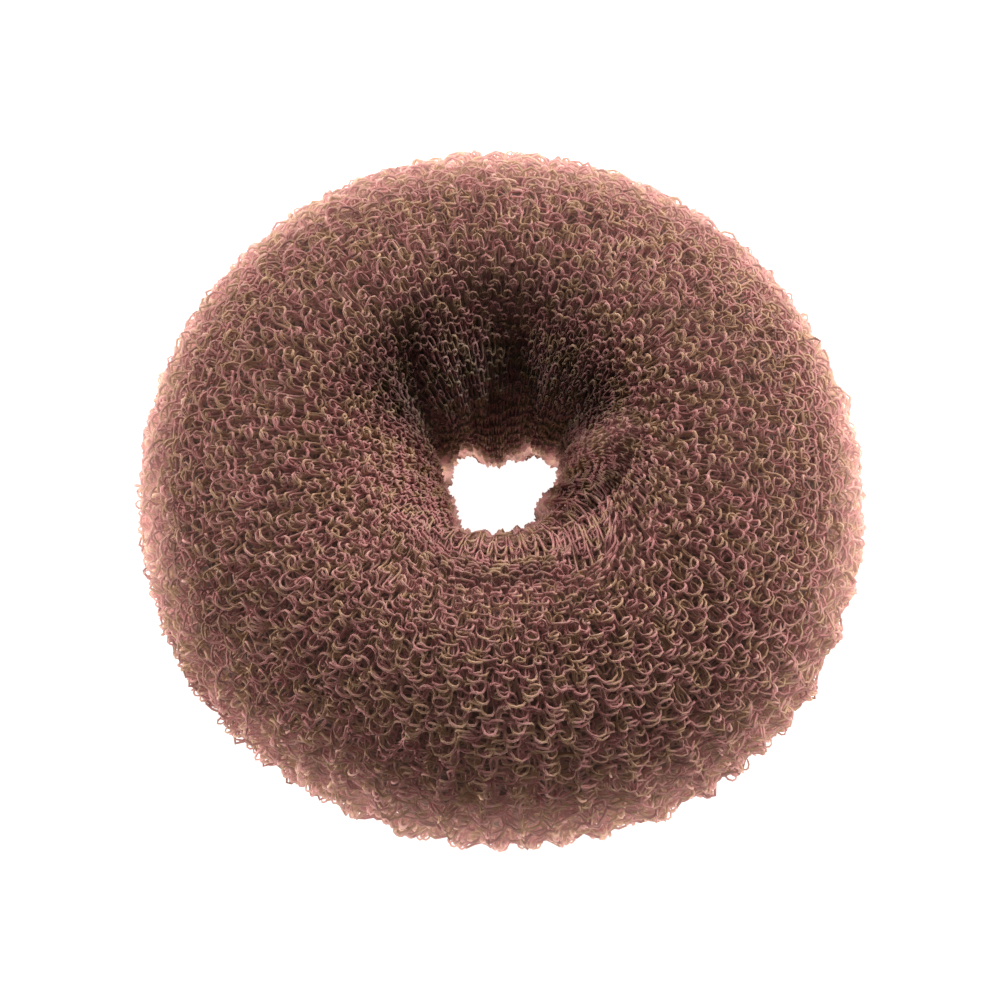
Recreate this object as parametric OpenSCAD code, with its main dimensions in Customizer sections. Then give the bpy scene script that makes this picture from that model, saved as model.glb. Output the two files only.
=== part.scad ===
// Knitted mesh donut for a hair bun. One long knitted tube is rolled up on itself into a soft
// ring, which lies on a table with its hole upright. A ponytail goes up through the hole.
// X runs left to right, Y front to back and Z up from the table, in millimetres.

/* [Ring] */
// Width across the ring where it is fullest
ring_width = 90; // [80:0.5:110]
// Height of the ring as it lies
ring_height = 39; // [35:0.5:46]
// Height above the table at which the roll is fullest
fullest_height = 18.4; // [16:0.2:20]
// Width of the flattened band on which the ring lies
rest_width = 15; // [8:0.5:20]
// Farthest that the outline strays from a circle
outline_swing = 0.9; // [0:0.1:2]
// Farthest that the crown sinks below the ring's height
crown_swing = 0.8; // [0:0.1:1.5]

/* [Hole] */
// Width of the hole at its narrowest, with its folds and gathers left aside
hole_width = 13.5; // [12:0.5:20]
// Depth of the deepest fold in the wall of the hole
fold_depth = 2.6; // [0:0.1:3]
// Number of gathers round the hole
gathers = 24; // [14:1:26]
// Height of one gather, from its valley to its ridge
gather_height = 0.6; // [0:0.05:0.9]

/* [Hem] */
// Width of the hem that ends the rolled cloth, round the mouth of the hole
hem_width = 3; // [2:0.1:4.5]
// How far the hem stands out of the roll
hem_rise = 0.6; // [0.2:0.1:1]
// Width of the slope on each side of the hem
hem_slope = 0.8; // [0.4:0.1:1]

/* [Hidden] */

// Directions are degrees round the ring, from 0 at the right to 90 at the back. Section angles
// are degrees round the roll: 0 is its outermost line, 90 the crown, 180 the wall of the hole
// and 270 the underside.

// Columns of the outline, crown and hem tables
DIRECTION = 0;
SHARE = 1;

// The outline: direction, then its share of outline_swing outwards
outline = [
    [0, 0],
    [35, -0.55],
    [70, -0.1],
    [100, 0.45],
    [140, 0.25],
    [180, 0],
    [212, -0.1],
    [243, -0.85],
    [272, -0.2],
    [300, 0.6],
    [322, 0.9],
    [342, 0.3]
];

// The crown: direction, then its share of crown_swing upwards
crown = [
    [15, -0.35],
    [70, -0.8],
    [125, 0],
    [195, -0.9],
    [255, -0.25],
    [310, -1]
];

// Folds in the wall of the hole. A fold's direction is taken on the narrowest line, and its lean
// is how many degrees it turns round the ring for each degree of section angle below that line.
// Depth is a share of fold_depth, below 0 for a fold that bulges into the hole. Spread is half
// the fold's width in degrees of direction. It begins at the section angle of its mouth and
// starts to fade out at that of its end.
FOLD_DEPTH = 1;
FOLD_SPREAD = 2;
FOLD_MOUTH = 3;
FOLD_END = 4;
FOLD_LEAN = 5;
folds = [
    [229, 0.55, 9, 98, 130, -2.1],
    [7, -0.5, 9, 98, 128, 0],
    [31, 0.75, 18, 150, 205, 0.2],
    [46, 0.8, 14, 112, 150, 0.3],
    [66, 0.65, 12, 104, 205, -0.3],
    [97, -0.4, 10, 150, 205, 0],
    [93, 0.65, 26, 86, 122, 0],
    [125, 0.75, 16, 150, 205, 0],
    [158, 0.9, 10, 92, 160, 0.38],
    [166, 0.25, 11, 150, 205, 0],
    [199, -0.25, 13, 140, 205, 0],
    [236, 0.4, 12, 120, 205, 0],
    [288, -0.2, 16, 120, 205, 0],
    [337, -0.85, 13, 140, 205, 0]
];

// Section angles over which a fold or a gather grows and fades out, and where a gather's fading
// starts
grow_angle = 40;
fade_angle = 38;
gather_end = 205;

// Section angle at the middle of the hem
hem_middle = 115.5;

// The hem: direction, then the share of hem_rise with which it still stands out there
hem_shares = [
    [20, 0],
    [155, 0],
    [215, 1],
    [345, 1]
];

// Half the width of the roll, its half height above the fullest line, and the full depth that
// the rounding below that line would have if the table didn't flatten it
roll_half = (ring_width - hole_width) / 4;
ring_radius = (ring_width + hole_width) / 4;
crown_half = ring_height - fullest_height;
rest_share = rest_width / 2 / roll_half;
foot_half = fullest_height / sqrt(1 - rest_share * rest_share);

// Section angles of the edges of the resting band and of the hem
rest_inner = 180 + acos(rest_share);
rest_outer = 360 - acos(rest_share);
hem_span = 180 * hem_width / (PI * roll_half);
slope_span = 180 * hem_slope / (PI * roll_half);
hem_start = hem_middle - hem_span / 2 - slope_span;
hem_end = hem_middle + hem_span / 2 + slope_span;

// Steps of the surface: round the ring for each gather, and round the roll on each stretch
steps_per_gather = 5;
crown_steps = 16;
wall_steps = 15;
rest_steps = 3;
flank_steps = 8;

function evenly(from, to, steps) = [for (k = [0:1:steps - 1]) from + (to - from) * k / steps];

section_angles = concat(
    evenly(0, hem_start, crown_steps),
    [hem_start, hem_start + slope_span, hem_end - slope_span],
    evenly(hem_end, rest_inner, wall_steps),
    evenly(rest_inner, rest_outer, rest_steps),
    evenly(rest_outer, 360, flank_steps)
);
sides = len(section_angles);
rounds = gathers * steps_per_gather;

// From 0 to 1 as x goes from low to high, with a soft start and a soft end
function ease(low, high, x) = (1 - cos(180 * max(0, min(1, (x - low) / (high - low))))) / 2;

// The share that a table gives for a direction, eased between its rows and closed round the ring
function share_at(table, direction) =
    let (
        first = table[0],
        closed = concat(table, [[first[DIRECTION] + 360, first[SHARE]]]),
        at = direction < first[DIRECTION] ? direction + 360 : direction,
        row = [for (k = [0:1:len(table) - 1]) if (closed[k][DIRECTION] <= at) k],
        low = closed[max(row)],
        high = closed[max(row) + 1]
    )
    low[SHARE] + (high[SHARE] - low[SHARE]) * ease(low[DIRECTION], high[DIRECTION], at);

// The shorter way round between two directions, which differ by less than a turn and a half
function apart(a, b) = abs(abs(abs(a - b) - 180) - 180);

// 1 where a fold or a gather has its full height on the wall of the hole, 0 beyond it
function on_wall(mouth, end, angle) =
    ease(mouth, mouth + grow_angle, angle) * (1 - ease(end, end + fade_angle, angle));

// How far one fold sets the wall back
function fold_at(fold, direction, angle) =
    let (
        middle = fold[DIRECTION] + fold[FOLD_LEAN] * (angle - 180),
        spreads = apart(direction, middle) / fold[FOLD_SPREAD]
    )
    fold_depth * fold[FOLD_DEPTH] * exp(-spreads * spreads)
    * on_wall(fold[FOLD_MOUTH], fold[FOLD_END], angle);

function all_folds_at(direction, angle) =
    let (depths = [for (fold = folds) fold_at(fold, direction, angle)])
    depths * [for (fold = folds) 1];

function gather_at(direction, angle) =
    gather_height / 2 * cos(gathers * direction) * on_wall(hem_middle, gather_end, angle);

function hem_at(direction, angle) =
    hem_rise * share_at(hem_shares, direction)
    * ease(hem_start, hem_start + slope_span, angle)
    * (1 - ease(hem_end - slope_span, hem_end, angle));

// How far the surface stands out of the plain roll
function stands_out(direction, angle) =
    hem_at(direction, angle) + gather_at(direction, angle) - all_folds_at(direction, angle);

function outline_at(direction) = outline_swing * share_at(outline, direction);

function crown_at(direction) = crown_swing * share_at(crown, direction);

// A point of the surface. The table holds the underside flat at height 0.
function surface_point(direction, angle) =
    let (
        out = stands_out(direction, angle),
        half = roll_half + (cos(angle) > 0 ? outline_at(direction) : 0),
        tall = sin(angle) > 0 ? crown_half + crown_at(direction) : foot_half,
        reach = ring_radius + (half + out) * cos(angle),
        height = fullest_height + (tall + out) * sin(angle)
    )
    [
        reach * cos(direction),
        reach * sin(direction),
        angle >= rest_inner && angle <= rest_outer ? 0 : max(0, height)
    ];

// Point k of the section at step i round the ring, with both counts closed
function index(i, k) = (i % rounds) * sides + k % sides;

module rolled_mesh() {
    points = [
        for (i = [0:1:rounds - 1])
            for (angle = section_angles)
                surface_point(360 * i / rounds, angle)
    ];
    triangles = [
        for (i = [0:1:rounds - 1])
            for (k = [0:1:sides - 1])
                for (half = [0, 1])
                    half == 0
                        ? [index(i, k), index(i, k + 1), index(i + 1, k + 1)]
                        : [index(i, k), index(i + 1, k + 1), index(i + 1, k)]
    ];
    color([0.43, 0.29, 0.24])
        polyhedron(points = points, faces = triangles, convexity = 6);
}

rolled_mesh();
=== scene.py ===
import math

import bpy
import numpy as np
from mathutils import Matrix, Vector


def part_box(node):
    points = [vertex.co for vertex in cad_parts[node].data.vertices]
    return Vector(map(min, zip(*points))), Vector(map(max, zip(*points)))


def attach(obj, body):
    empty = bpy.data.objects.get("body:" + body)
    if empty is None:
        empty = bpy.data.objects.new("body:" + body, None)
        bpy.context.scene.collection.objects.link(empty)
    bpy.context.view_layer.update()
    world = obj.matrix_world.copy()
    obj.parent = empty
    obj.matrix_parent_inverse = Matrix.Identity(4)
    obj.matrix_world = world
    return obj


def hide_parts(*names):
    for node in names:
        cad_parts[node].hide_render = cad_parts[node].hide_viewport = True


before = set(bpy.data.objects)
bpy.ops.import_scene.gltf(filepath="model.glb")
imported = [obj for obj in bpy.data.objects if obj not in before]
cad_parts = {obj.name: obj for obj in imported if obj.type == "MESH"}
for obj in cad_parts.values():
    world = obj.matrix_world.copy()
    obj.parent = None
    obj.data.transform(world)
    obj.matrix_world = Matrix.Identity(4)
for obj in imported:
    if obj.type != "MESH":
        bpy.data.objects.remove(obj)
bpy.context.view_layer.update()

mm = 0.001
turn = 2 * math.pi

# Directions run round the ring from 0 at the right to a quarter turn at the back. Section
# angles run round the roll: 0 is its outermost line, 90 degrees the crown, 180 the wall of the
# hole and 270 the underside. Lengths are in millimetres up to the moment a mesh is made.

boxLow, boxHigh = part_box("rolled_mesh")
ring = {
    "width": (boxHigh.x - boxLow.x) / mm,
    "height": (boxHigh.z - boxLow.z) / mm,
    "holeWidth": 13.5,
    "fullestHeight": 18.4,
    "restWidth": 15.0,
    "outlineSwing": 0.9,
    "crownSwing": 0.8,
    "foldDepth": 2.6,
    "foldGrow": 40,  # degrees of section angle over which a fold grows, and then fades
    "foldFade": 38,
    "gathers": 24,
    "gatherHeight": 0.6,
    "gatherEnd": 205,
    "hemMiddle": 115.5,
    "hemWidth": 3.0,
    "hemRise": 0.6,
    "hemSlope": 0.8,
}
# direction, share of the swing
outlineRows = np.array([
    [0, 0], [35, -0.55], [70, -0.1], [100, 0.45], [140, 0.25], [180, 0],
    [212, -0.1], [243, -0.85], [272, -0.2], [300, 0.6], [322, 0.9], [342, 0.3],
])
crownRows = np.array([
    [15, -0.35], [70, -0.8], [125, 0], [195, -0.9], [255, -0.25], [310, -1],
])
hemRows = np.array([[20, 0], [155, 0], [215, 1], [345, 1]])
# direction on the narrowest line, share of the depth, spread, section angles of the mouth and
# of the end, lean
foldRows = np.array([
    [229, 0.55, 9, 98, 130, -2.1],
    [7, -0.5, 9, 98, 128, 0],
    [31, 0.75, 18, 150, 205, 0.2],
    [46, 0.8, 14, 112, 150, 0.3],
    [66, 0.65, 12, 104, 205, -0.3],
    [97, -0.4, 10, 150, 205, 0],
    [93, 0.65, 26, 86, 122, 0],
    [125, 0.75, 16, 150, 205, 0],
    [158, 0.9, 10, 92, 160, 0.38],
    [166, 0.25, 11, 150, 205, 0],
    [199, -0.25, 13, 140, 205, 0],
    [236, 0.4, 12, 120, 205, 0],
    [288, -0.2, 16, 120, 205, 0],
    [337, -0.85, 13, 140, 205, 0],
])

rollHalf = (ring["width"] - ring["holeWidth"]) / 4
ringRadius = (ring["width"] + ring["holeWidth"]) / 4
crownHalf = ring["height"] - ring["fullestHeight"]
restShare = ring["restWidth"] / 2 / rollHalf
footHalf = ring["fullestHeight"] / math.sqrt(1 - restShare ** 2)


def ease(low, high, x):
    # from 0 to 1 as x goes from low to high, half a cosine wave
    return (1 - np.cos(np.pi * np.clip((x - low) / (high - low), 0, 1))) / 2


def signedAngle(degrees):
    # the same angle between half a turn back and half a turn on
    return np.mod(degrees + 180, 360) - 180


def tableAt(rows, direction):
    # a table's share at a direction in degrees, eased between rows and closed round the ring
    at = np.mod(direction - rows[0, 0], 360) + rows[0, 0]
    closed = np.vstack([rows, [rows[0, 0] + 360, rows[0, 1]]])
    row = np.clip(np.searchsorted(closed[:, 0], at, side="right") - 1, 0, len(rows) - 1)
    low, high = closed[row], closed[row + 1]
    return low[..., 1] + (high[..., 1] - low[..., 1]) * ease(low[..., 0], high[..., 0], at)


def onWall(mouth, end, section):
    # 1 where a fold has its full depth on the wall of the hole, 0 beyond it
    grown = ease(mouth, mouth + ring["foldGrow"], section)
    return grown * (1 - ease(end, end + ring["foldFade"], section))


def foldsAt(direction, section):
    # the folds' depths added up, each a bell curve across its own leaning line
    depth = 0
    for middle, share, spread, mouth, end, lean in foldRows:
        away = signedAngle(direction - middle - lean * (section - 180))
        depth = depth + share * np.exp(-(away / spread) ** 2) * onWall(mouth, end, section)
    return ring["foldDepth"] * depth


def gathersAt(direction, section):
    # a cosine wave round the ring, on the wall of the hole
    wave = np.cos(ring["gathers"] * np.radians(direction))
    return ring["gatherHeight"] / 2 * wave * onWall(ring["hemMiddle"], ring["gatherEnd"], section)


def hemAt(direction, section):
    # the hem's height: a band with a soft slope on each side, which runs out on the far side
    degreesPerMm = 180 / (math.pi * rollHalf)
    half, slope = ring["hemWidth"] / 2 * degreesPerMm, ring["hemSlope"] * degreesPerMm
    start, end = ring["hemMiddle"] - half, ring["hemMiddle"] + half
    rise = ring["hemRise"] * tableAt(hemRows, direction)
    return rise * ease(start - slope, start, section) * (1 - ease(end, end + slope, section))


def rollPoint(direction, section, out, floor=0.0):
    # A point of the roll, out mm beyond its plain surface. An ellipse's quarter for each side of
    # the fullest line is carried round the ring, set back by the folds, and flat on the table.
    section = np.mod(section, 360)
    a, b = np.radians(direction), np.radians(section)
    out = out + hemAt(direction, section) + gathersAt(direction, section) - foldsAt(direction, section)
    swing = ring["outlineSwing"] * tableAt(outlineRows, direction)
    rise = ring["crownSwing"] * tableAt(crownRows, direction)
    half = rollHalf + np.where(np.cos(b) > 0, swing, 0)
    tall = np.where(np.sin(b) > 0, crownHalf + rise, footHalf)
    reach = ringRadius + (half + out) * np.cos(b)
    height = np.maximum(ring["fullestHeight"] + (tall + out) * np.sin(b), floor)
    return np.stack([reach * np.cos(a), reach * np.sin(a), height], -1)


def outwardAt(direction, section):
    # the direction straight out of the roll, from two points one beyond the other
    noFloor = -9
    outward = rollPoint(direction, section, 0.5, noFloor) - rollPoint(direction, section, 0, noFloor)
    return outward / np.linalg.norm(outward, axis=-1, keepdims=True)


# How the knit lies on the roll. A course is one row of stitches all round the ring, a wale one
# column of them that runs over the crown and down through the hole.
knit = {
    # section angle, spacing of the courses there
    "courseRows": [(0, 1), (100, 1), (112, 0.8), (130, 1), (200, 1.1), (262, 1)],
    # the same on the near side: close together on the hem, then drawn long over the lip
    "lipRows": [(0, 1), (104, 1), (111, 0.42), (120, 0.42), (124, 4.2), (156, 4.2), (165, 1.2), (262, 1)],
    # direction, share of the long stitches, and the same for the turn below the outer one
    "lipShare": np.array([[232, 0], [252, 1], [306, 1], [322, 0]]),
    "innerLipShare": np.array([[232, 0], [252, 1], [284, 1], [296, 0]]),
    # section angles between which the long stitches begin and end
    "longStart": (121, 126),
    "longEnd": (160, 175),
    # direction, degrees of section angle by which the long stitches start farther out there,
    # then the middle and the reach of that shift
    "lipShift": np.array([[230, 0], [282, 0], [300, -15], [320, -15], [345, 0]]),
    "shiftMiddle": 132,
    "shiftReach": 42,
    # direction of a wale outside, and how far it is drawn round the ring inside the hole: apart
    # on the near lip and together in the folds
    "waleRows": np.array([
        [0, 9], [24, 3], [60, 1], [133, 0], [160, 0], [200, -4], [230, -9], [250, -11],
        [270, 0], [288, 10], [318, 26], [340, 17],
    ]),
    # section angles between which the wall of the hole begins and ends
    "holeStart": (96, 150),
    "holeEnd": (215, 262),
    # low mounds and dips of the soft roll: height, counts round the ring and the roll, start
    "puffs": [(0.16, 47, 31, 0.4), (0.14, 29, 43, 2.1), (0.1, 71, 59, 4.0)],
    # tufts round the outermost line: height, their count, and direction with their share
    "tuftHeight": 1.1,
    "tufts": 53,
    "tuftShare": np.array([[0, 0.5], [90, 0.3], [180, 0.5], [225, 1], [310, 1]]),
    # how far slower sines bend the mounds and push the tufts along, and how many waves they have
    "puffBends": [(1.3, 5), (1.1, 3), (1.7, 7)],
    "tuftBends": [(2.2, 9), (1.5, 4)],
    # how much a course's sideways slip varies round the ring, and in how many waves
    "slipVaries": (0.5, 3),
    # waves in which a course wanders up and down round the ring, and courses that it lags by
    "wanderWaves": 2,
    "wanderLag": 7,
    # chance: how much a stitch varies in depth, in its place in and out, and in tone
    "liftChance": 0.35,
    "outChance": 0.6,
    "toneChance": 0.22,
    "calm": 0.5,  # how much of the chance is lost on the lip, and again in the hole
    "feetOut": 0.3,  # how much farther out the foot of a stitch lies than its head
    "strandSides": 3,
}


def spacingMap(rows):
    # turns a table of spacings into a count of courses, by adding the spacing up round the roll
    rows = np.array(rows, float)
    at = np.linspace(0, 360, 1441)  # four places to a degree
    closed = np.vstack([rows[-1] - [360, 0], rows, rows[0] + [360, 0]])
    spacing = np.interp(at, closed[:, 0], closed[:, 1])
    count = np.concatenate([[0], np.cumsum(2 / (spacing[1:] + spacing[:-1]))])
    return at, count / count[-1]


def sectionAngle(share, rows):
    # the section angle at a share of the way round the roll, counted in courses, with the
    # length of the plain section between two angles taken into account
    at, count = spacingMap(rows)
    b = np.radians(at)
    tall = np.where(np.sin(b) > 0, crownHalf, footHalf)
    length = np.hypot(rollHalf * np.sin(b), tall * np.cos(b))
    weight = np.concatenate([[0], np.cumsum(np.diff(count) * (length[1:] + length[:-1]) / 2)])
    whole = np.floor(share)
    return 360 * whole + np.interp(share - whole, weight / weight[-1], at)


def courseAngle(share, direction, lip):
    # a course's section angle, with the long stitches blended in by their share
    drawn = sectionAngle(share, knit["lipRows"])
    away = (np.mod(drawn, 360) - knit["shiftMiddle"]) / knit["shiftReach"]
    drawn = drawn + tableAt(knit["lipShift"], direction) * np.exp(-away ** 2)
    return (1 - lip) * sectionAngle(share, knit["courseRows"]) + lip * drawn


def inHole(section):
    # 1 on the wall of the hole and 0 outside it
    return ease(*knit["holeStart"], section) * (1 - ease(*knit["holeEnd"], section))


def waleDirection(share, section):
    # the direction at a share of the way round the ring: even outside, drawn together in the hole
    drawn = np.interp(360 * share, *knit["waleRows"].T, period=360)
    return 360 * share + drawn * inHole(section)


def tuftAt(direction, section):
    # a row of tufts round the outermost line, unevenly spaced by a slower sine
    a, b = np.radians(direction), np.radians(section)
    (alongBend, alongWaves), (acrossBend, acrossWaves) = knit["tuftBends"]
    bend = alongBend * np.sin(alongWaves * a + 1) + acrossBend * np.sin(acrossWaves * b)
    wave = np.sin(knit["tufts"] * a + bend)
    return np.clip(wave, 0, 1) ** 1.5 * np.clip(np.cos(b), 0, 1) ** 4


def puffAt(direction, section):
    # mounds and dips: products of sines round the ring and round the roll, bent by slower ones
    a, b = np.radians(direction), np.radians(section)
    (rollBend, rollWaves), (ringBend, ringWaves), (crossBend, crossWaves) = knit["puffBends"]
    height = 0
    for tall, around, across, start in knit["puffs"]:
        bend = rollBend * np.sin(rollWaves * b + start) + ringBend * np.sin(ringWaves * a - start)
        crossing = np.sin(across * b + crossBend * np.sin(crossWaves * a + start))
        height = height + tall * np.sin(around * a + bend) * crossing
    tuftHeight = knit["tuftHeight"] * tableAt(knit["tuftShare"], direction)
    return height + tuftHeight * tuftAt(direction, section)


# Painted light: emission that stands in for light that filters through the loose turns, as a share of the
# strand's own colour
glow = {
    "open": 0.065,  # all over, outside the hole
    "deep": 0.017,  # in the shade of the hole
    "flank": 0.34,  # on the lower flank, which the pale table lights
    "flankMiddle": 325,  # its section angle
    "flankWidth": 17,
    # direction, share of the flank's light
    "flankShare": np.array([[0, 0.55], [90, 0.2], [180, 0.55], [215, 1], [325, 1]]),
    "rim": 0.4,  # round the outermost line, where the light from behind comes through few turns
    "rimMiddle": np.array([[0, 8], [90, 30], [180, 8], [270, -10]]),  # direction, its section angle
    "rimWidth": 21,
    # direction, share of the rim's light
    "rimShare": np.array([
        [0, 2.0], [45, 1.75], [90, 1.65], [135, 1.65], [185, 1.7],
        [215, 0.45], [270, 0.9], [325, 0.55], [345, 1.35],
    ]),
    "crown": 0.06,  # over the far half of the crown
    "crownMiddle": 72,  # its section angle
    "crownWidth": 32,
    # direction, share of the crown's light
    "crownShare": np.array([
        [0, 1.05], [45, 1.45], [90, 1.1], [135, 1.25], [180, 0.9], [225, 0.3], [270, 0.05], [315, 0.2],
    ]),
    "edge": 0.8,  # on the thin gathered edge of the hole, which the table lights too
    # direction, section angle of the edge of the hole
    "edgeAt": np.array([[0, 180], [90, 203], [180, 180], [270, 157]]),
    # direction, share of the edge's light
    "edgeShare": np.array([
        [40, 0.9], [90, 0.95], [185, 1.15], [225, 0.7], [270, 0.5], [315, 0.35], [345, 0.7], [360, 1.2],
    ]),
    # direction, degrees of section angle over which it fades
    "edgeReach": np.array([[0, 13], [60, 10], [90, 9], [180, 8], [270, 8], [320, 9]]),
    "edgeEnd": (215, 260),  # section angles between which it ends below
    # painted highlights on ridges that catch the light: direction, section angle, spreads along both, lean,
    # light
    "ridges": [
        (8, 134, 7, 20, -0.1, 0.13),
        (172, 128, 11, 12, 0, 0.03),
        (270, 134, 36, 14, 0, 0.04),
        (275, 104, 60, 11, 0, 0.055),
    ],
}

# Painted shade: where the painted light fades down in the hole, where the brown loses its red there, and in
# the folds
shade = {
    # direction, section angle where the shade of the hole begins
    "start": np.array([
        [20, 88], [60, 90], [120, 90], [160, 90], [200, 118], [240, 140], [300, 140], [345, 108],
    ]),
    "length": 45,  # degrees of section angle until it is full
    "end": (230, 300),  # section angles between which it ends on the underside
    # direction, share of the deep shade that takes the red out of the brown
    "coolShare": np.array([[5, 0], [40, 1], [140, 1], [175, 0]]),
    "coolStart": (108, 145),
    "coolClear": (6, 26),  # degrees above the edge of the hole between which it ends
    # Painted shade in the folds, where the cloth is drawn tight and hardly any light reaches it:
    # direction, section angle, spreads along both, lean, share of the brown that is lost
    "foldShadeSpots": [
        (32, 132, 19, 13, 0, 0.5),
        (330, 136, 8, 9, -2.2, 0.5),
        (339, 128, 8, 8, -2.2, 0.5),
        (92, 108, 30, 9, 0, 0.3),
        (152, 130, 15, 22, 0.3, 0.55),
        (128, 116, 15, 12, 0, 0.42),
        (341, 150, 8, 13, 0.15, 0.45),
        (270, 114, 34, 6, 0, 0.2),
        (225, 134, 24, 15, 0, 0.15),
    ],
}


def bell(direction, section, middle, height, spread, rise, lean):
    # a bell curve of both angles, whose middle leans round the ring as the section angle grows
    away = signedAngle(direction - middle - lean * (section - height))
    return np.exp(-(away / spread) ** 2 - ((section - height) / rise) ** 2)


def shadedAt(direction, section):
    # 1 down in the hole and 0 outside
    start = tableAt(shade["start"], direction)
    return ease(0, 1, (section - start) / shade["length"]) * (1 - ease(*shade["end"], section))


def coolAt(direction, section):
    # the part of the painted shade where the brown is less red, which ends above the edge
    inside = tableAt(glow["edgeAt"], direction) - section
    share = tableAt(shade["coolShare"], direction)
    return share * ease(*shade["coolStart"], section) * ease(*shade["coolClear"], inside)


def foldShadeAt(direction, section):
    # the share of the brown lost to painted fold shade: one less the product of what each spot leaves
    left = 1
    for *shape, lost in shade["foldShadeSpots"]:
        left = left * (1 - lost * bell(direction, section, *shape))
    return 1 - left


def glowAt(direction, section):
    # the painted light: the open share, faded to the deep one down the hole, with a bell added for
    # the crown, the flank, the rim, the hole's edge and each ridge
    shaded = shadedAt(direction, section)
    light = glow["open"] + (glow["deep"] - glow["open"]) * shaded
    fromCrown = (section - glow["crownMiddle"]) / glow["crownWidth"]
    crown = glow["crown"] * tableAt(glow["crownShare"], direction) * np.exp(-fromCrown ** 2)
    light = light + crown * (1 - shaded)
    fromFlank = (section - glow["flankMiddle"]) / glow["flankWidth"]
    light = light + glow["flank"] * tableAt(glow["flankShare"], direction) * np.exp(-fromFlank ** 2)
    fromRim = signedAngle(section - tableAt(glow["rimMiddle"], direction)) / glow["rimWidth"]
    light = light + glow["rim"] * tableAt(glow["rimShare"], direction) * np.exp(-fromRim ** 2)
    inside = tableAt(glow["edgeAt"], direction) - section
    reached = np.exp(-(inside / tableAt(glow["edgeReach"], direction)) ** 2)
    edge = glow["edge"] * tableAt(glow["edgeShare"], direction) * reached
    light = light + edge * (1 - ease(*glow["edgeEnd"], section))
    for *shape, share in glow["ridges"]:
        light = light + share * bell(direction, section, *shape)
    return light


def lookValues(direction, section, tone):
    # what the materials read at each point: the stitch's tone, and the painted light and shade by place
    section = np.mod(section, 360)
    return {"tone": tone, "glow": glowAt(direction, section), "cool": coolAt(direction, section),
            "foldshade": foldShadeAt(direction, section)}


def smoothAlong(values, steps):
    # random values, one for each stitch of a course, eased from stitch to stitch
    following = np.roll(values, -1, 1)
    blend = (1 - np.cos(np.pi * np.arange(steps) / steps)) / 2
    return (values[..., None] + (following - values)[..., None] * blend).reshape(len(values), -1)


def stitchLines(net):
    # Each course is a closed line. With t as the angle through a stitch, it goes forward as
    # t + width * sin 2t, up and down as cos t, and in and out as cos 2t, so that it makes round
    # loops whose heads and feet stand out of the cloth and whose legs lie deeper. On the lip
    # sin t is taken off, which draws the two legs of a long stitch together. A course slips
    # sideways on the next one, except on the lip.
    rng = np.random.default_rng(net["seed"])
    courses, wales, steps = net["courses"], net["wales"], net["steps"]
    t = turn * np.arange(wales * steps) / steps
    row = np.arange(courses)[:, None]

    def jitter(amount):  # a chance for each stitch, with a bell curve's odds
        return smoothAlong(rng.normal(0, amount, (courses, wales)), steps)

    place = 360 * t / turn / wales
    lip = tableAt(knit[net["lip"]], place) if net["lip"] else np.zeros_like(place)
    section = courseAngle((row + 0.5) / courses, place, lip)
    shift = tableAt(knit["lipShift"], place)
    onLip = lip * ease(*knit["longStart"], section - shift) * (1 - ease(*knit["longEnd"], section))
    calm = (1 - knit["calm"] * onLip) * (1 - knit["calm"] * inHole(section))
    along = (t + net["loopWidth"] * np.sin(2 * t) - net["drawn"] * onLip * np.sin(t)) / turn
    varies, waves = knit["slipVaries"]
    slip = rng.normal(0, net["slip"], (courses, 1)) * (1 + varies * np.sin(waves * t / wales + row))
    along = along + calm * jitter(net["stray"]) + (1 - onLip) * slip
    height = net["loopHeight"] * (1 + calm * jitter(net["stray"]))
    wave = knit["wanderWaves"] * turn * along / wales + row / knit["wanderLag"]
    wander = net["wander"] * np.sin(wave + net["seed"])
    up = row + 0.5 + height * np.cos(t) + calm * jitter(net["stray"]) + wander * (1 - onLip)
    section = courseAngle(up / courses, place, lip)
    direction = waleDirection(along / wales, np.mod(section, 360))
    lift = net["lift"] * (1 + jitter(knit["liftChance"])) * (np.cos(2 * t) - knit["feetOut"] * np.cos(t))
    hooks = net["hooks"] * np.abs(jitter(1)) * ((1 - np.cos(t)) / 2) ** 2
    out = lift + hooks + jitter(knit["outChance"] * net["stray"]) + puffAt(direction, section)
    floor = (net["thick"] + net["depth"]) / 2
    points = rollPoint(direction, section, calm * out - net["depth"], floor)
    tone = np.clip(0.5 + jitter(knit["toneChance"]), 0, 1)
    return points, outwardAt(direction, section), lookValues(direction, section, tone)


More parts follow.
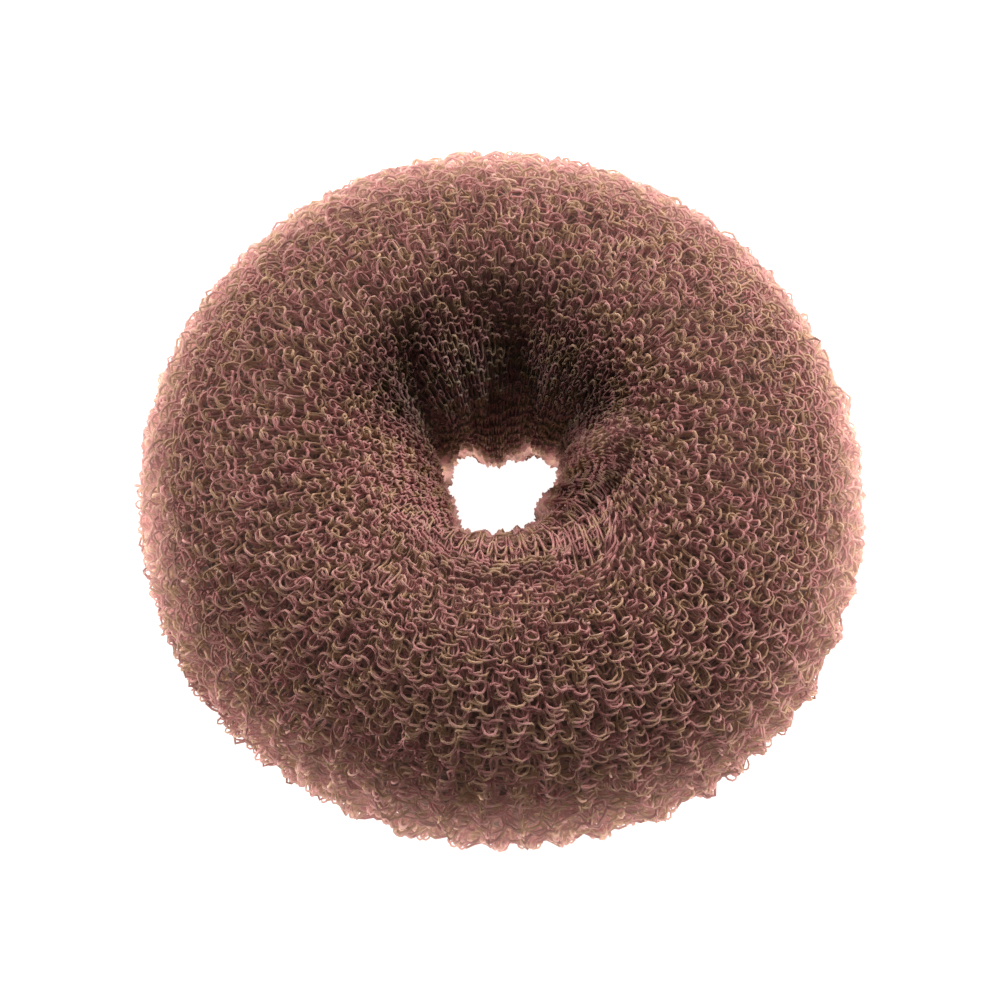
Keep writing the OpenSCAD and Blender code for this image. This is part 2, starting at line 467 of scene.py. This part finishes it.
def strandMesh(name, points, outward, values, thick, closed=True, columns=1):
    # A thin tube along each line: round each point a ring of corners, in the plane of the
    # outward direction and the one square to it and to the line. The map has a cell for each
    # face, with the lines in so many columns.
    sides = knit["strandSides"]
    lines, count, _ = points.shape
    along = np.roll(points, -1, 1) - np.roll(points, 1, 1) if closed else np.gradient(points, axis=1)
    along /= np.linalg.norm(along, axis=-1, keepdims=True)
    side = np.cross(along, outward)
    side /= np.linalg.norm(side, axis=-1, keepdims=True)
    up = np.cross(side, along)
    angle = turn * np.arange(sides) / sides
    ringOf = np.cos(angle)[:, None] * up[..., None, :] + np.sin(angle)[:, None] * side[..., None, :]
    radius = np.broadcast_to(thick, count)[:, None, None] / 2
    corners = (points[..., None, :] + radius * ringOf).reshape(-1, 3) * mm

    spans = count if closed else count - 1
    c, i, k = np.meshgrid(np.arange(lines), np.arange(spans), np.arange(sides), indexing="ij")

    def corner(i, k):  # the number of corner k round point i, with both counts closed
        return (c * count + i % count) * sides + k % sides

    faces = np.stack([corner(i, k), corner(i, k + 1), corner(i + 1, k + 1), corner(i + 1, k)], -1)
    rows = math.ceil(lines / columns)
    u = ((c % columns)[..., None] + np.stack([i, i, i + 1, i + 1], -1) / spans) / columns
    v = ((c // columns)[..., None] + np.stack([k, k + 1, k + 1, k], -1) / sides) / rows
    values = {key: np.repeat(value.ravel(), sides) for key, value in values.items()}
    return gridObject(name, corners, faces.reshape(-1, 4), np.stack([u, v], -1), values)


def gridObject(name, corners, faces, cells, values):
    # puts whole arrays into a mesh: corners, four-sided faces, a map with a cell for each face
    # and named values for each corner
    mesh = bpy.data.meshes.new(name)
    mesh.vertices.add(len(corners))
    mesh.vertices.foreach_set("co", corners.astype(np.float32).ravel())
    mesh.loops.add(faces.size)
    mesh.loops.foreach_set("vertex_index", faces.astype(np.int32).ravel())
    mesh.polygons.add(len(faces))
    mesh.polygons.foreach_set("loop_start", np.arange(0, faces.size, 4, dtype=np.int32))
    mesh.update(calc_edges=True)
    mesh.polygons.foreach_set("use_smooth", np.ones(len(faces), bool))
    mesh.uv_layers.new(name="OFBake").data.foreach_set("uv", cells.astype(np.float32).ravel())
    for key, value in values.items():
        mesh.attributes.new(key, "FLOAT", "POINT").data.foreach_set("value", value.astype(np.float32))
    piece = bpy.data.objects.new(name, mesh)
    bpy.context.collection.objects.link(piece)
    return piece


def triangles(piece):
    return 2 * len(piece.data.polygons)


def wear(piece, material):
    # gives a piece its material and the body it rides on
    piece.data.materials.append(material)
    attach(piece, "root")
    print("stage:", piece.name, triangles(piece), "triangles")
    return piece


# The materials are joined from shader nodes by these few helpers.
def feed(tree, socket, source):
    # links a socket to another node's output, or puts a number or a colour on it
    if isinstance(source, bpy.types.NodeSocket):
        tree.links.new(source, socket)
    else:
        socket.default_value = source


def calculate(tree, kind, operation, sources):
    # a node that works out one thing from numbers or from other nodes' outputs
    node = tree.nodes.new(kind)
    node.operation = operation
    sockets = [socket for socket in node.inputs if socket.enabled]
    for socket, source in zip(sockets, sources):
        feed(tree, socket, source)
    return next(socket for socket in node.outputs if socket.enabled)


def number(tree, operation, *sources):
    return calculate(tree, "ShaderNodeMath", operation, sources)


def vector(tree, operation, *sources):
    return calculate(tree, "ShaderNodeVectorMath", operation, sources)


def mixColour(tree, blend, factor, first, second):
    # a colour between the first and the second, or between the first and their product
    node = tree.nodes.new("ShaderNodeMix")
    node.data_type = "RGBA"
    node.blend_type = blend
    for name, source in (("Factor", factor), ("A", first), ("B", second)):
        feed(tree, node.inputs[name], source)
    return node.outputs["Result"]


def noiseAt(tree, place, scale, detail):
    # cloudy noise over the places given
    node = tree.nodes.new("ShaderNodeTexNoise")
    for name, source in (("Vector", place), ("Scale", scale), ("Detail", detail)):
        feed(tree, node.inputs[name], source)
    return node.outputs


def ramp(tree, source, stops):
    # colours along a line from 0 to 1, each stop with its place
    node = tree.nodes.new("ShaderNodeValToRGB")
    feed(tree, node.inputs["Fac"], source)
    elements = node.color_ramp.elements
    while len(elements) < len(stops):
        elements.new(0.5)
    for element, (place, colour) in zip(elements, stops):
        element.position = place
        element.color = (*colour, 1)
    return node.outputs["Color"]


def meshValue(tree, name):
    # one of the named values that each corner of a piece carries
    node = tree.nodes.new("ShaderNodeAttribute")
    node.attribute_name = name
    return node.outputs["Fac"]


def newGroup(name, takes, gives):
    # an empty node group, whose sockets are given by name and kind, with its two ends
    group = bpy.data.node_groups.new(name, "ShaderNodeTree")
    for side, sockets in (("INPUT", takes), ("OUTPUT", gives)):
        for socket, kind in sockets.items():
            group.interface.new_socket(socket, in_out=side, socket_type="NodeSocket" + kind)
    return group, group.nodes.new("NodeGroupInput").outputs, group.nodes.new("NodeGroupOutput").inputs


def useGroup(tree, group, sources):
    # puts a node group into a material, with its own values
    node = tree.nodes.new("ShaderNodeGroup")
    node.node_tree = group
    for name, source in sources.items():
        feed(tree, node.inputs[name], source)
    return node.outputs


def newMaterial(name):
    material = bpy.data.materials.new(name)
    material.use_nodes = True
    return material, material.node_tree, material.node_tree.nodes["Principled BSDF"]


dyeLook = {
    "start": -0.95,  # the shade before the parts are added
    "toneWeight": 0.8,  # of the tone of each stitch
    "patchWeight": 0.6,  # of the slow drift over the ring
    "fleckWeight": 1.5,  # of the quick change from stitch to stitch
    "detail": 1,
}


def dyeGroup():
    # The dye's unevenness. The shade is a sum of tone, patches and flecks, each times its weight,
    # and the hue comes from another channel of the flecks.
    group, takes, gives = newGroup(
        "unevenDye",
        {"Tone": "Float", "Patch Size": "Float", "Fleck Size": "Float"},
        {"Shade": "Float", "Hue": "Float"},
    )
    place = group.nodes.new("ShaderNodeTexCoord").outputs["Object"]
    flecks = noiseAt(group, place, number(group, "DIVIDE", 1, takes["Fleck Size"]), dyeLook["detail"])
    patches = noiseAt(group, place, number(group, "DIVIDE", 1, takes["Patch Size"]), dyeLook["detail"])
    channels = group.nodes.new("ShaderNodeSeparateColor")
    feed(group, channels.inputs["Color"], flecks["Color"])
    shade = number(group, "MULTIPLY_ADD", takes["Tone"], dyeLook["toneWeight"], dyeLook["start"])
    shade = number(group, "MULTIPLY_ADD", patches["Fac"], dyeLook["patchWeight"], shade)
    shade = number(group, "MULTIPLY_ADD", channels.outputs["Green"], dyeLook["fleckWeight"], shade)
    feed(group, gives["Shade"], shade)
    feed(group, gives["Hue"], channels.outputs["Red"])
    return group


lightLook = {
    "coolTint": (0.74, 0.91, 0.93, 1),  # painted shade: what is left of the brown down in the hole
    "foldShadeTint": (0, 0, 0, 1),  # painted fold shade, where the cloth is drawn tight
    "pale": (0.89, 0.585, 0.5, 1),  # the colour that much painted filtered light drifts to
    "paleShare": 0.5,
}


def lightGroup():
    # The place on the ring paints shade into the colour and adds painted light. The colour is
    # multiplied by two painted-shade tints by their shares. The light is that colour, drifting to pale
    # as the glow grows, times the glow.
    group, takes, gives = newGroup(
        "lightOfPlace",
        {"Colour": "Color", "Glow": "Float", "Cool": "Float", "FoldShade": "Float"},
        {"Colour": "Color", "Light": "Color"},
    )
    colour = mixColour(group, "MULTIPLY", takes["Cool"], takes["Colour"], lightLook["coolTint"])
    colour = mixColour(group, "MULTIPLY", takes["FoldShade"], colour, lightLook["foldShadeTint"])
    share = number(group, "MULTIPLY", takes["Glow"], lightLook["paleShare"])
    pale = mixColour(group, "MIX", share, colour, lightLook["pale"])
    feed(group, gives["Colour"], colour)
    feed(group, gives["Light"], vector(group, "SCALE", pale, takes["Glow"]))
    return group


def lightUp(material, tree, shader, colour):
    # gives a material its colour with painted shade, and its painted filtered light
    shares = {name: meshValue(tree, name.lower()) for name in ("Glow", "Cool", "FoldShade")}
    lit = useGroup(tree, placeLight, {"Colour": colour, **shares})
    feed(tree, shader.inputs["Base Color"], lit["Colour"])
    feed(tree, shader.inputs["Emission Color"], lit["Light"])
    feed(tree, shader.inputs["Emission Strength"], 1)
    material.cycles.emission_sampling = "NONE"  # too faint to be worth sampling as lamps


strandLook = {
    "patchSize": 0.02,  # in metres
    "fleckSize": 0.0019,
    # place along the ramp, colour
    "shades": [
        (0.0, (0.243, 0.134, 0.117)),
        (0.5, (0.445, 0.252, 0.219)),
        (1.0, (0.575, 0.358, 0.316)),
    ],
    "hues": [
        (0.38, (1.0, 0.77, 0.81)),
        (0.5, (1.0, 0.91, 0.87)),
        (0.62, (0.97, 1.0, 0.73)),
    ],
    "roughness": 0.65,
    "gloss": 0.08,
    "glint": (1, 0.78, 0.68, 1),
    "bending": 1.53,  # how much nylon bends light
}


def strandMaterial():
    # a nylon filament whose brown drifts between mauve, rust and olive
    material, tree, shader = newMaterial("nylonStrand")
    uneven = useGroup(tree, dyeGroup(), {
        "Tone": meshValue(tree, "tone"),
        "Patch Size": strandLook["patchSize"],
        "Fleck Size": strandLook["fleckSize"],
    })
    shade = ramp(tree, uneven["Shade"], strandLook["shades"])
    hue = ramp(tree, uneven["Hue"], strandLook["hues"])
    lightUp(material, tree, shader, mixColour(tree, "MULTIPLY", 1, shade, hue))
    feed(tree, shader.inputs["Roughness"], strandLook["roughness"])
    feed(tree, shader.inputs["Specular IOR Level"], strandLook["gloss"])
    feed(tree, shader.inputs["Specular Tint"], strandLook["glint"])
    feed(tree, shader.inputs["IOR"], strandLook["bending"])
    return material


placeLight = lightGroup()
strandBrown = strandMaterial()
print("stage: strand material ready")

# The nets: the outer turn of the roll and the turns that show through it. Depth in the roll, the
# strand's thickness, lift (how far a stitch goes in and out) and hooks (how far chance pulls its
# foot out) are in millimetres. The loop's width is in radians of its stitch, and its height in
# courses. Drawn is how close the legs of a long stitch lie. Stray, slip and wander are how far
# chance moves a stitch, a course sideways, and a course up and down.
nets = [
    {
        "name": "outer_turn", "parts": 2, "courses": 72, "wales": 62, "steps": 12, "seed": 11,
        "depth": 0.35, "thick": 0.4, "loopWidth": 0.72, "loopHeight": 0.8, "lift": 0.45,
        "lip": "lipShare", "drawn": 0.85, "hooks": 0.15, "stray": 0.2, "slip": 0.45, "wander": 0.5,
    },
    {
        "name": "second_turn", "parts": 2, "courses": 71, "wales": 62, "steps": 10, "seed": 23,
        "depth": 0.68, "thick": 0.4, "loopWidth": 0.72, "loopHeight": 0.8, "lift": 0.45,
        "lip": "innerLipShare", "drawn": 0.6, "hooks": 0.3, "stray": 0.22, "slip": 0.5, "wander": 0.8,
    },
    {
        "name": "third_turn", "parts": 1, "courses": 66, "wales": 58, "steps": 8, "seed": 37,
        "depth": 1.1, "thick": 0.38, "loopWidth": 0.7, "loopHeight": 0.85, "lift": 0.36,
        "lip": None, "drawn": 0, "hooks": 0, "stray": 0.22, "slip": 0.5, "wander": 1.6,
    },
    {
        "name": "fourth_turn", "parts": 1, "courses": 58, "wales": 50, "steps": 6, "seed": 53,
        "depth": 1.6, "thick": 0.4, "loopWidth": 0.6, "loopHeight": 0.85, "lift": 0.3,
        "lip": None, "drawn": 0, "hooks": 0, "stray": 0.22, "slip": 0.5, "wander": 2.0,
    },
]
for net in nets:
    points, outward, values = stitchLines(net)
    cuts = np.linspace(0, net["courses"], net["parts"] + 1).astype(int)
    for letter, start, end in zip("ab", cuts[:-1], cuts[1:]):
        rows = slice(start, end)
        rowValues = {key: value[rows] for key, value in values.items()}
        name = f"{net['name']}_{letter}"
        wear(strandMesh(name, points[rows], outward[rows], rowValues, net["thick"]), strandBrown)

# Loops that have been pulled out of the outer turn, thickest round the outline
strays = {
    "count": 1560,
    "tries": 4,  # places drawn for each loop that is kept
    "seed": 71,
    "tilt": 20,  # section angle of the ring's outline at the back, and below 0 at the front
    "spread": 17,  # of the section angle, about that outline
    "crowd": 0.15,  # share of the places between the tufts that are kept
    "points": 7,
    "thick": 0.34,
    "taper": 0.12,  # how near to nothing the ends come: radians left out at each end of a sine
    "size": (0.3, 0.7),  # half the width of a loop
    "sweep": (190, 280),  # how far round it goes, in degrees
    "reach": 1.5,  # how many times longer than wide it is
    "drift": 0.25,  # how far aside chance moves it
    "start": 0.45,  # how deep in the cloth it begins
    "floor": 0.3,  # lowest that it begins
    "tone": (0.62, 0.2),  # the middle and the chance
    "tip": 0.45,  # painted light that filters through its outer end
    "columns": 40,  # of its map
}


def strayLoops():
    # Each loop is an arc: with r its size and p the angle through it, it goes out by r sin p and
    # sideways by r (1 - cos p), in a random heading over the cloth, and drifts a little aside.
    rng = np.random.default_rng(strays["seed"])
    one = (strays["count"], 1)
    direction = rng.uniform(0, 360, strays["tries"] * strays["count"])
    section = strays["tilt"] * np.sin(np.radians(direction))
    section = section + rng.normal(0, strays["spread"], direction.shape)
    crowd = strays["crowd"] + tuftAt(direction, section)  # more of them grow on the tufts
    kept = np.nonzero(rng.uniform(0, 1, direction.shape) < crowd)[0][:strays["count"]]
    direction, section = direction[kept].reshape(one), section[kept].reshape(one)
    size = rng.uniform(*strays["size"], one)[..., None]
    share = np.linspace(0, 1, strays["points"])
    p = (np.radians(rng.uniform(*strays["sweep"], one)) * share)[..., None]
    base = rollPoint(direction, section, puffAt(direction, section) - strays["start"], strays["floor"])
    outward = outwardAt(direction, section)
    a = np.radians(direction)
    around = np.stack([-np.sin(a), np.cos(a), 0 * a], -1)
    across = np.cross(outward, around)
    heading = rng.uniform(0, turn, one)[..., None]
    ahead = np.cos(heading) * around + np.sin(heading) * across
    aside = np.cross(outward, ahead)
    drift = rng.normal(0, strays["drift"], one)[..., None]
    out = strays["reach"] * np.sin(p) * outward
    points = base + size * (out + (1 - np.cos(p)) * ahead + drift * p * aside)
    points[..., 2] = np.maximum(points[..., 2], strays["thick"] / 2)
    middle, chance = strays["tone"]
    values = lookValues(direction, section, np.clip(rng.normal(middle, chance, one), 0, 1))
    values["glow"] = values["glow"] + strays["tip"] * np.clip(np.sin(p[..., 0]), 0, 1)
    values = {key: np.broadcast_to(value, points.shape[:2]) for key, value in values.items()}
    square = np.broadcast_to(aside, points.shape)
    through = np.linspace(strays["taper"], math.pi - strays["taper"], strays["points"])
    thick = strays["thick"] * np.sqrt(np.sin(through))
    return strandMesh("stray_loops", points, square, values, thick, False, strays["columns"])


wear(strayLoops(), strandBrown)

# The inner turns, packed so close that they are one body
core = {
    "depth": 2.1,
    "wallDepth": 2.0,  # how much deeper it lies behind the wall of the hole
    "floor": 1.2,  # lowest point
    "rounds": 200,
    "sides": 100,
    "grain": 0.25,  # height of its unevenness, then the waves round the ring and round the roll
    "grainWaves": (31, 29),
    "wales": 58,
    "courses": 66,
    "arc": 0.33,  # radius of a thread loop, as a share of its cell
    "thread": 0.1,
    "bendScale": 1.1,
    "bendDetail": 2,
    "bend": (0.9, 0.9, 0),
    "bump": 0.8,
    "bumpHeight": 0.0003,
    "tone": 0.5,
    "holeDim": 0.5,  # share of the painted glow that is lost behind the wall of the hole, as painted shade
    "roughness": 0.75,
    "gloss": 0.2,
    # the gaps' darker colour is painted shade between the threads
    "gapColour": (0.14, 0.085, 0.07),
    "threadColour": (0.32, 0.18, 0.145),
}


def coreBody():
    # the roll's own surface, some way in, with a small unevenness of sines of both angles
    rounds, sides = core["rounds"], core["sides"]
    direction = 360 * np.arange(rounds)[:, None] / rounds
    section = sectionAngle(np.arange(sides)[None, :] / sides, knit["courseRows"])
    ringWaves, rollWaves = core["grainWaves"]
    uneven = np.sin(np.radians(direction * ringWaves)) * np.sin(np.radians(section * rollWaves))
    depth = core["depth"] + core["wallDepth"] * inHole(section)
    out = core["grain"] * uneven + puffAt(direction, section) - depth
    corners = rollPoint(direction, section, out, core["floor"])
    i, k = np.meshgrid(np.arange(rounds), np.arange(sides), indexing="ij")

    def corner(i, k):  # the number of corner k of round i, with both counts closed
        return (i % rounds) * sides + k % sides

    faces = np.stack([corner(i, k), corner(i + 1, k), corner(i + 1, k + 1), corner(i, k + 1)], -1)
    u = np.stack([i, i + 1, i + 1, i], -1) / rounds
    v = np.stack([k, k, k + 1, k + 1], -1) / sides
    cells = np.stack([u, v], -1)
    values = lookValues(direction, section, np.float64(core["tone"]))
    values["glow"] = values["glow"] * (1 - core["holeDim"] * inHole(section))
    values = {key: np.broadcast_to(value, i.shape).ravel() for key, value in values.items()}
    body = gridObject("inner_turns", corners.reshape(-1, 3) * mm, faces.reshape(-1, 4), cells, values)
    cloth = body.data.uv_layers.new(name="cloth")
    cloth.data.foreach_set("uv", cells.astype(np.float32).ravel())
    return body


def loopGroup():
    # Rings of thread on a grid: 1 on the thread and 0 in the gaps. The distance from the middle
    # of the cell, less the arc's radius, is compared with the thread's thickness.
    group, takes, gives = newGroup(
        "threadLoops",
        {"Place": "Vector", "Arc": "Float", "Thread": "Float", "Shift": "Float"},
        {"Thread Mask": "Float"},
    )
    cell = vector(group, "FRACTION", vector(group, "ADD", takes["Place"], takes["Shift"]))
    middle = vector(group, "SUBTRACT", cell, (0.5, 0.5, 0))
    away = vector(group, "LENGTH", vector(group, "MULTIPLY", middle, (1, 1, 0)))
    off = number(group, "ABSOLUTE", number(group, "SUBTRACT", away, takes["Arc"]))
    mask = group.nodes.new("ShaderNodeMapRange")
    mask.interpolation_type = "SMOOTHSTEP"
    feed(group, mask.inputs["Value"], number(group, "DIVIDE", off, takes["Thread"]))
    feed(group, mask.inputs["From Min"], 1)
    feed(group, mask.inputs["From Max"], 0.4)  # full from here to the middle of the thread
    feed(group, gives["Thread Mask"], mask.outputs["Result"])
    return group


def coreMaterial():
    # two sheets of thread loops, bent by noise, over dark gaps; the gaps' darkness is painted shade between
    # the threads
    material, tree, shader = newMaterial("innerTurns")
    cloth = tree.nodes.new("ShaderNodeUVMap")
    cloth.uv_map = "cloth"
    stitches = vector(tree, "MULTIPLY", cloth.outputs["UV"], (core["wales"], core["courses"], 0))
    bend = noiseAt(tree, stitches, core["bendScale"], core["bendDetail"])
    bent = vector(tree, "MULTIPLY_ADD", bend["Color"], core["bend"], stitches)
    loops = loopGroup()
    sheets = []
    for shift in (0, 0.5):
        sheet = {"Place": bent, "Arc": core["arc"], "Thread": core["thread"], "Shift": shift}
        sheets.append(useGroup(tree, loops, sheet)["Thread Mask"])
    threads = number(tree, "MAXIMUM", *sheets)
    lightUp(material, tree, shader, ramp(tree, threads, [(0, core["gapColour"]), (1, core["threadColour"])]))
    bump = tree.nodes.new("ShaderNodeBump")
    feed(tree, bump.inputs["Strength"], core["bump"])
    feed(tree, bump.inputs["Distance"], core["bumpHeight"])
    feed(tree, bump.inputs["Height"], threads)
    feed(tree, shader.inputs["Normal"], bump.outputs["Normal"])
    feed(tree, shader.inputs["Roughness"], core["roughness"])
    feed(tree, shader.inputs["Specular IOR Level"], core["gloss"])
    return material


innerTurns = wear(coreBody(), coreMaterial())
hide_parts("rolled_mesh")

# Floor, light and camera
stageLook = {
    "floorSize": 6.0,
    "floorColour": (0.8, 0.8, 0.8, 1),
    "floorRoughness": 0.9,
    "floorGloss": 0.1,
    "floorSeen": 0.95,  # the floor's own light, as the camera sees it
    "floorCast": 1.12,  # and as it reaches the ring from below
    "skySeen": 1.0,
    "skyCast": 0.0,
    "white": (1, 1, 1, 1),
}


def glowFor(tree, seen, cast):
    # one strength for what the camera sees and another for the light that is cast
    ray = tree.nodes.new("ShaderNodeLightPath")
    pick = tree.nodes.new("ShaderNodeMapRange")
    feed(tree, pick.inputs["Value"], ray.outputs["Is Camera Ray"])
    feed(tree, pick.inputs["To Min"], cast)
    feed(tree, pick.inputs["To Max"], seen)
    return pick.outputs["Result"]


def paleFloor():
    material, tree, shader = newMaterial("paleFloor")
    feed(tree, shader.inputs["Base Color"], stageLook["floorColour"])
    feed(tree, shader.inputs["Roughness"], stageLook["floorRoughness"])
    feed(tree, shader.inputs["Specular IOR Level"], stageLook["floorGloss"])
    feed(tree, shader.inputs["Emission Color"], stageLook["white"])
    strength = glowFor(tree, stageLook["floorSeen"], stageLook["floorCast"])
    feed(tree, shader.inputs["Emission Strength"], strength)
    return material


bpy.ops.mesh.primitive_plane_add(size=stageLook["floorSize"])
floor = bpy.context.object
floor.name = "floor"
floor.data.materials.append(paleFloor())

world = bpy.data.worlds.new("studio")
bpy.context.scene.world = world
world.use_nodes = True
sky = world.node_tree.nodes["Background"]
feed(world.node_tree, sky.inputs["Color"], stageLook["white"])
strength = glowFor(world.node_tree, stageLook["skySeen"], stageLook["skyCast"])
feed(world.node_tree, sky.inputs["Strength"], strength)

lamps = [
    {"name": "backLamp", "place": (0.0, 0.82, 0.5), "size": 0.8, "power": 6.8},
    {"name": "backRightLamp", "place": (0.58, 0.62, 0.5), "size": 0.6, "power": 5.6},
    {"name": "leftLamp", "place": (-0.9, 0.2, 0.3), "size": 0.6, "power": 7.6},
    {"name": "rightLamp", "place": (0.9, 0.2, 0.3), "size": 0.6, "power": 7.2},
]
lampTarget = Vector((0, 0, 0.02))


def aim(thing, target):
    # turns a lamp's or the camera's back, its Z axis, straight away from the target
    back = thing.location - target
    thing.rotation_euler = back.to_track_quat("Z", "Y").to_euler()


for lamp in lamps:
    data = bpy.data.lights.new(lamp["name"], "AREA")
    data.shape = "DISK"
    data.size = lamp["size"]
    data.energy = lamp["power"]
    light = bpy.data.objects.new(lamp["name"], data)
    light.location = lamp["place"]
    aim(light, lampTarget)
    bpy.context.collection.objects.link(light)

view = {
    "elevation": 67.1,
    "distance": 0.65,
    "lens": 185.4,
    "shift": (-0.001, -0.002),
    "aimHeight": 0.45,  # as a share of the ring's height
}
cameraData = bpy.data.cameras.new("camera")
cameraData.lens = view["lens"]
cameraData.shift_x, cameraData.shift_y = view["shift"]
camera = bpy.data.objects.new("camera", cameraData)
cameraTarget = Vector((0, 0, view["aimHeight"] * ring["height"] * mm))
angle = math.radians(view["elevation"])
camera.location = cameraTarget + view["distance"] * Vector((0, -math.cos(angle), math.sin(angle)))
aim(camera, cameraTarget)
bpy.context.collection.objects.link(camera)
bpy.context.scene.camera = camera
bpy.context.scene.view_settings.view_transform = "Standard"
print("stage: floor, light and camera ready")
